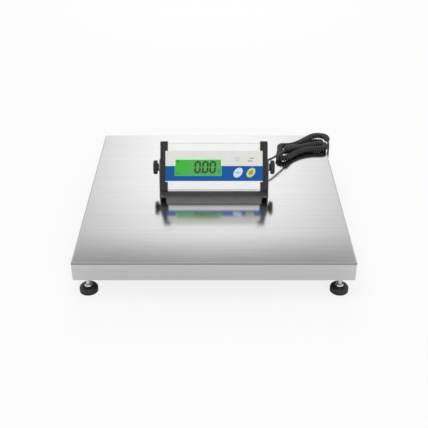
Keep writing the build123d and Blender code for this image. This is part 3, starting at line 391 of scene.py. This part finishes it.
def label_print():
    """The printed film: grey-beige, with a blue band between two heights up the face."""
    finish = Finish("label_print", (0.75, 0.74, 0.71), 0.32, specular=0.25)
    out = finish.node("ShaderNodeVectorMath", operation="SUBTRACT")
    out.inputs[1].default_value = FACE_CENTRE
    up = finish.node("ShaderNodeVectorMath", operation="DOT_PRODUCT")
    up.inputs[1].default_value = FACE_UP
    finish.join(finish.place, out.inputs[0])
    finish.join(out.outputs["Vector"], up.inputs[0])
    under_top = finish.span(up.outputs["Value"], 0, 1, BAND_TOP * MM, (BAND_TOP - 1.0) * MM)
    over_low = finish.span(up.outputs["Value"], 0, 1, (BAND_LOW - 0.3) * MM, BAND_LOW * MM)
    both = finish.node("ShaderNodeMath", operation="MULTIPLY")
    finish.join(under_top, both.inputs[0])
    finish.join(over_low, both.inputs[1])
    grain = finish.span(finish.noise(150), 0, 1)
    upper = finish.blend(grain, (0.745, 0.735, 0.71), (0.78, 0.77, 0.75))
    lower = finish.blend(grain, (0.002, 0.085, 0.33), (0.003, 0.095, 0.36))
    finish.paint(finish.blend(both.outputs[0], upper, lower))
    return finish.rough(0.28, 0.4, 120).bump(3000, 0.000008).material


def lit(name, tone, strength, second=None, across=None):
    """A surface lit from behind, uneven, or drifting from one tone to the other along X."""
    finish = Finish(name, tone, 0.35)
    if across:
        split = finish.node("ShaderNodeSeparateXYZ")
        finish.join(finish.place, split.inputs[0])
        share = finish.span(split.outputs["X"], 0, 1, across[0] * MM, across[1] * MM)
    else:
        share = finish.span(finish.noise(25), 0, 1)
    glow = finish.blend(share, tone, second or tone)
    finish.paint(glow)
    finish.join(glow, finish.shader.inputs["Emission Color"])
    finish.shader.inputs["Emission Strength"].default_value = strength
    return finish.material


def clear_window():
    """The clear window: glass to look at, with nothing bent behind it.

    Its back faces don't reflect, so the light from behind isn't kept in.
    """
    finish = Finish("window_clear", (1, 1, 1), 0.04)
    gloss = finish.node("ShaderNodeBsdfGlossy")
    gloss.inputs["Roughness"].default_value = 0.08
    through = finish.node("ShaderNodeBsdfTransparent")
    through.inputs["Color"].default_value = (0.97, 1.0, 0.97, 1)
    fresnel = finish.node("ShaderNodeFresnel")
    outer = finish.node("ShaderNodeMath", operation="SUBTRACT")
    outer.inputs[0].default_value = 1.0
    share = finish.node("ShaderNodeMath", operation="MULTIPLY")
    mix = finish.node("ShaderNodeMixShader")
    finish.join(finish.node("ShaderNodeNewGeometry").outputs["Backfacing"], outer.inputs[1])
    finish.join(fresnel.outputs["Fac"], share.inputs[0])
    finish.join(outer.outputs[0], share.inputs[1])
    finish.join(share.outputs[0], mix.inputs["Fac"])
    finish.join(through.outputs["BSDF"], mix.inputs[1])
    finish.join(gloss.outputs["BSDF"], mix.inputs[2])
    finish.join(mix.outputs["Shader"], finish.tree.nodes["Material Output"].inputs["Surface"])
    return finish.material


BLACK = (0.018, 0.018, 0.019)
MATERIALS = {
    "brushed_pan": brushed_pan(),
    "frame_steel": moulded("frame_steel", (0.20, 0.205, 0.21), 0.4, 900, 0.00005),
    "cell_alloy": metal("cell_alloy", (0.75, 0.76, 0.78), 0.28, (8, 200, 200)),
    "bright_zinc": metal("bright_zinc", (0.80, 0.80, 0.80), 0.18),
    "foot_black": moulded("foot_black", (0.012, 0.012, 0.012), 0.42, 1500, 0.00004),
    "rubber_black": moulded("rubber_black", (0.02, 0.02, 0.02), 0.8),
    "box_grey": moulded("box_grey", (0.30, 0.30, 0.31), 0.5),
    "board_green": moulded("board_green", (0.02, 0.13, 0.04), 0.3),
    "gland_black": moulded("gland_black", BLACK, 0.5),
    "lead_grey": moulded("lead_grey", (0.16, 0.16, 0.165), 0.45),
    "cord_black": moulded("cord_black", (0.024, 0.024, 0.025), 0.36, 1200, 0.00002),
    "bracket_black": moulded("bracket_black", (0.14, 0.14, 0.14), 0.38, 1400, 0.00006),
    "shell_white": moulded("shell_white", (0.88, 0.88, 0.875), 0.35, 2200, 0.00001, 0.02),
    "cap_black": moulded("cap_black", (0.010, 0.010, 0.010), 0.48, 1600, 0.00006),
    "label_print": label_print(),
    "window_clear": clear_window(),
    "lcd_green": lit("lcd_green", (0.018, 0.30, 0.013), 0.45, (0.045, 0.275, 0.045), (-60, -35)),
    "light_white": lit("light_white", (0.75, 0.85, 0.75), 0.3),
    "key_white": moulded("key_white", (0.62, 0.76, 0.88), 0.3, 2500, 0.00001),
    "key_yellow": moulded("key_yellow", (0.40, 0.44, 0.08), 0.3, 2500, 0.00001),
    "dome_steel": metal("dome_steel", (0.78, 0.78, 0.78), 0.2),
    "holder_black": moulded("holder_black", BLACK, 0.5),
    "battery_skin": moulded("battery_skin", (0.06, 0.06, 0.065), 0.3),
    "port_metal": metal("port_metal", (0.72, 0.72, 0.72), 0.25),
    "jack_black": moulded("jack_black", BLACK, 0.4),
    "knob_black": moulded("knob_black", (0.015, 0.015, 0.015), 0.42, 1500, 0.00004),
}


def dress_nodes():
    """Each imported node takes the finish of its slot."""
    for entry in frame["record"]["subparts"]:
        mesh = nodes[entry["node"]].data
        mesh.materials.clear()
        mesh.materials.append(MATERIALS[entry["material_slot"]])


def plate(name, outlines, layer, material, body="indicator"):
    """Flat raised shapes on the face, from outlines in millimetres, as one piece."""
    back, front = layer
    mesh = bpy.data.meshes.new(name)
    work = bmesh.new()
    for outline in outlines:
        low = [work.verts.new(on_face(x, t, back)) for x, t in outline]
        high = [work.verts.new(on_face(x, t, front)) for x, t in outline]
        work.faces.new(list(reversed(low)))
        work.faces.new(high)
        for i in range(len(outline)):
            j = (i + 1) % len(outline)
            work.faces.new((low[i], low[j], high[j], high[i]))
    bmesh.ops.recalc_face_normals(work, faces=work.faces)
    work.to_mesh(mesh)
    work.free()
    mesh.materials.append(material)
    piece = link(bpy.data.objects.new(name, mesh))
    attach(piece, body)


def strip(a, b, width):
    """The four corners of a bar between two points."""
    start, end = Vector(a), Vector(b)
    side = (end - start).normalized().orthogonal() * width / 2
    return [tuple(p) for p in (start - side, end - side, end + side, start + side)]


def ring(x, y, outer, inner, steps=28):
    """A ring, as a row of four-cornered pieces."""
    pieces = []
    for i in range(steps):
        a, b = (tau * k / steps for k in (i, i + 1))
        corners = [(outer, a), (outer, b), (inner, b), (inner, a)]
        pieces.append([(x + r * cos(v), y + r * sin(v)) for r, v in corners])
    return pieces


def oval_ring(x, y, outer, inner, slant=radians(50), steps=36):
    """A slanted oval ring between two pairs of half axes."""
    def point(axes, v):
        along, across = axes[0] * cos(v), axes[1] * sin(v)
        right = along * cos(slant) - across * sin(slant)
        up = along * sin(slant) + across * cos(slant)
        return (x + right, y + up)

    angles = [tau * i / steps for i in range(steps + 1)]
    pairs = zip(angles, angles[1:])
    return [[point(outer, a), point(outer, b), point(inner, b), point(inner, a)] for a, b in pairs]


def digit(x, y, height, width, stroke, lit_bars):
    """A seven-bar figure with mitred ends, leaning a little to the right."""
    lean = 0.06
    half, mid, gap = width / 2, height / 2, 0.1
    places = {
        "top": ((-half, mid), (half, mid)), "middle": ((-half, 0), (half, 0)),
        "bottom": ((-half, -mid), (half, -mid)), "upper_left": ((-half, 0), (-half, mid)),
        "upper_right": ((half, 0), (half, mid)), "lower_left": ((-half, -mid), (-half, 0)),
        "lower_right": ((half, -mid), (half, 0)),
    }
    shapes = []
    for name in lit_bars:
        a, b = (Vector(p) for p in places[name])
        along = (b - a).normalized()
        side = Vector((-along.y, along.x)) * stroke / 2
        a, b = a + along * gap, b - along * gap
        tip = along * stroke / 2
        outline = [a, a + tip - side, b - tip - side, b, b - tip + side, a + tip + side]
        shapes.append([(x + p.x + lean * (p.y + mid), y + p.y) for p in outline])
    return shapes


def make_display():
    """The dark figures, small marks and border behind the window, and the pale strip above it."""
    dark = ink("lcd_ink", (0.001, 0.035, 0.001), 0.6)
    shapes = []
    for x in DIGIT_X:
        shapes += digit(x, DIGIT_Y, *DIGIT_SIZE, ZERO)
    # The decimal point, then the small marks at the window's sides
    shapes.append([(-26.2, -13.4), (-23.4, -13.4), (-23.2, -10.6), (-26.0, -10.6)])
    shapes.append([(-74, 11.5), (-69.5, 11.5), (-71.7, 7.6)])
    shapes.append(strip((-74, -13.5), (-69.5, -13.5), 1.4))
    shapes += ring(9.5, -11.0, 1.7, 1.0, 16)
    shapes.append(strip((8.2, -6.5), (11.4, -6.5), 1.2))
    plate("lcd_figures", shapes, FIGURES_LAYER, dark)
    left, right, low, high = WINDOW
    edge, turn = BORDER_WIDTH, BAND_TOP
    pale = lit("border_pale", (0.62, 0.80, 0.60), 0.25, (0.68, 0.84, 0.66))
    teal = lit("border_teal", (0.05, 0.30, 0.19), 0.25, (0.06, 0.34, 0.22))
    upper = [
        [(left, high - edge), (right, high - edge), (right, high), (left, high)],
        [(left, turn), (left + edge, turn), (left + edge, high - edge), (left, high - edge)],
        [(right - edge, turn), (right, turn), (right, high - edge), (right - edge, high - edge)],
    ]
    lower = [
        [(left, low), (right, low), (right, low + edge), (left, low + edge)],
        [(left, low + edge), (left + edge, low + edge), (left + edge, turn), (left, turn)],
        [(right - edge, low + edge), (right, low + edge), (right, turn), (right - edge, turn)],
    ]
    plate("lcd_border_upper", upper, BORDER_LAYER, pale)
    plate("lcd_border_lower", lower, BORDER_LAYER, teal)
    print_pale = ink("frame_pale", (0.62, 0.82, 0.68), 0.35)
    brow = [(left, high + 0.2), (right, high + 0.2), (right, high + 2.4), (left, high + 2.4)]
    plate("window_brow", [brow], PRINT_LAYER, print_pale)


def make_seams():
    """The shadow line where the front shell meets the rear one, above and below."""
    for name, t, tone in (("seam_top", SEAM_AT, 0.5), ("seam_low", -SEAM_AT, 0.3)):
        shade = moulded(name, (tone, tone, tone), 0.6)
        line = strip((-SEAM_REACH, t), (SEAM_REACH, t), SEAM_WIDTH)
        plate(name, [line], SEAM_LAYER, shade)


def make_legends():
    """Plain pictograms: a ring for zero, two opposed arrows for units, and marks and a rim on the keys."""
    grey = ink("legend_grey", (0.28, 0.29, 0.31))
    red = ink("legend_red", (0.42, 0.10, 0.09))
    zx, zy = KEYS["zero"]
    ux, uy = KEYS["unit"]
    plate("zero_ring", ring(zx - 1, 14.0, 3.6, 2.9), PRINT_LAYER, grey)
    arrow = [
        strip((ux - 3, 16), (ux + 4, 16), 1.5),
        [(ux + 4, 17.7), (ux + 6.4, 16), (ux + 4, 14.3)],
    ]
    back = [
        strip((ux - 4, 10.6), (ux + 3, 10.6), 1.5),
        [(ux - 4, 12.3), (ux - 6.4, 10.6), (ux - 4, 8.9)],
    ]
    plate("unit_arrow_top", arrow, PRINT_LAYER, red)
    dark = ink("legend_dark", (0.05, 0.045, 0.05))
    plate("unit_arrow_low", back, PRINT_LAYER, dark)
    navy = ink("key_ink", (0.10, 0.16, 0.26))
    marks = [*ring(zx, zy, 2.4, 1.6, 20), strip((zx - 6, zy), (zx - 3.2, zy), 0.9)]
    marks.append(strip((zx + 3.2, zy), (zx + 6, zy), 0.9))
    plate("zero_key_mark", marks, KEY_PRINT_LAYER, navy, "zero_key")
    rim = ink("key_rim", (0.56, 0.68, 0.50), 0.3)
    oval = oval_ring(ux, uy, (9.6, 6.4), (6.9, 4.0))
    plate("unit_key_rim", oval, KEY_RIM_LAYER, rim, "unit_key")
    brown = ink("mark_brown", (0.22, 0.12, 0.02))
    marks = [
        strip((ux - 3, uy + 1.7), (ux + 4, uy + 1.7), 1.5),
        strip((ux - 4, uy - 1.7), (ux + 3, uy - 1.7), 1.5),
    ]
    plate("unit_key_mark", marks, KEY_MARK_LAYER, brown, "unit_key")


def make_stage():
    """A pale floor that reads white to the camera and keeps a soft shadow."""
    mesh = bpy.data.meshes.new("floor")
    far = FLOOR_REACH
    mesh.from_pydata([(-far, -far, 0), (far, -far, 0), (far, far, 0), (-far, far, 0)], [], [(0, 1, 2, 3)])
    floor = link(bpy.data.objects.new("floor", mesh))
    finish = Finish("floor", (0.86, 0.86, 0.86), 0.9)
    glow = finish.node("ShaderNodeEmission")
    path = finish.node("ShaderNodeLightPath")
    in_gloss = finish.node("ShaderNodeMath", operation="MULTIPLY")
    in_gloss.inputs[1].default_value = FLOOR_IN_GLOSS
    share = finish.node("ShaderNodeMath", operation="MULTIPLY_ADD")
    share.inputs[1].default_value = FLOOR_SEEN
    mix = finish.node("ShaderNodeMixShader")
    finish.join(path.outputs["Is Glossy Ray"], in_gloss.inputs[0])
    finish.join(path.outputs["Is Camera Ray"], share.inputs[0])
    finish.join(in_gloss.outputs[0], share.inputs[2])
    finish.join(share.outputs[0], mix.inputs["Fac"])
    finish.join(finish.shader.outputs["BSDF"], mix.inputs[1])
    finish.join(glow.outputs["Emission"], mix.inputs[2])
    finish.join(mix.outputs["Shader"], finish.tree.nodes["Material Output"].inputs["Surface"])
    mesh.materials.append(finish.material)


def make_lamp(name, place, target, size, power):
    """A soft lamp that lights the matt surfaces and doesn't show in gloss."""
    data = bpy.data.lights.new(name, "AREA")
    data.shape = "RECTANGLE"
    data.size, data.size_y = size
    data.energy = power
    lamp = link(bpy.data.objects.new(name, data))
    lamp.location = place
    lamp.visible_glossy = False
    lamp.rotation_euler = (Vector(target) - Vector(place)).to_track_quat("-Z", "Y").to_euler()


def make_world():
    """White to the camera, plain to matt surfaces; in gloss a pale room with two soft patches."""
    world = bpy.data.worlds.new("studio")
    bpy.context.scene.world = world
    world.use_nodes = True
    tree = world.node_tree
    nodes_of, join = tree.nodes.new, tree.links.new
    back = tree.nodes["Background"]
    back.inputs["Color"].default_value = (1, 1, 1, 1)
    place = nodes_of("ShaderNodeTexCoord")
    parts = []
    for direction, squeeze, limits in (GLOW, FLAG):
        flat, near = nodes_of("ShaderNodeVectorMath"), nodes_of("ShaderNodeVectorMath")
        flat.operation, near.operation = "MULTIPLY", "DISTANCE"
        flat.inputs[1].default_value = (squeeze, 1, 1)
        near.inputs[1].default_value = direction
        patch = nodes_of("ShaderNodeMapRange")
        patch.interpolation_type = "SMOOTHSTEP"
        for key, value in zip(("From Min", "From Max", "To Min", "To Max"), limits):
            patch.inputs[key].default_value = value
        join(place.outputs["Generated"], flat.inputs[0])
        join(flat.outputs["Vector"], near.inputs[0])
        join(near.outputs["Value"], patch.inputs["Value"])
        parts.append(patch.outputs["Result"])
    split = nodes_of("ShaderNodeSeparateXYZ")
    room = nodes_of("ShaderNodeValToRGB")
    room.color_ramp.interpolation = "EASE"
    marks = room.color_ramp.elements
    for position, _ in ROOM_LEVELS[1:-1]:
        marks.new(position)
    for mark, (position, level) in zip(marks, ROOM_LEVELS):
        mark.position = position
        mark.color = (level, level, level, 1)
    total, patches = nodes_of("ShaderNodeMath"), nodes_of("ShaderNodeMath")
    path = nodes_of("ShaderNodeLightPath")
    gloss, seen = nodes_of("ShaderNodeMix"), nodes_of("ShaderNodeMix")
    gloss.inputs["A"].default_value = AMBIENT
    seen.inputs["B"].default_value = 1.0
    join(place.outputs["Generated"], split.inputs[0])
    join(split.outputs["Z"], room.inputs["Fac"])
    join(room.outputs["Color"], total.inputs[0])
    join(parts[0], patches.inputs[0])
    join(parts[1], patches.inputs[1])
    join(patches.outputs[0], total.inputs[1])
    join(path.outputs["Is Glossy Ray"], gloss.inputs["Factor"])
    join(total.outputs[0], gloss.inputs["B"])
    join(path.outputs["Is Camera Ray"], seen.inputs["Factor"])
    join(gloss.outputs["Result"], seen.inputs["A"])
    join(seen.outputs["Result"], back.inputs["Strength"])


make_camera()
make_cord()
dress_nodes()
make_display()
make_legends()
make_seams()
make_stage()
make_world()
for lamp_name, settings in LAMPS.items():
    make_lamp(lamp_name, *settings)
bpy.context.scene.view_settings.view_transform = "Standard"
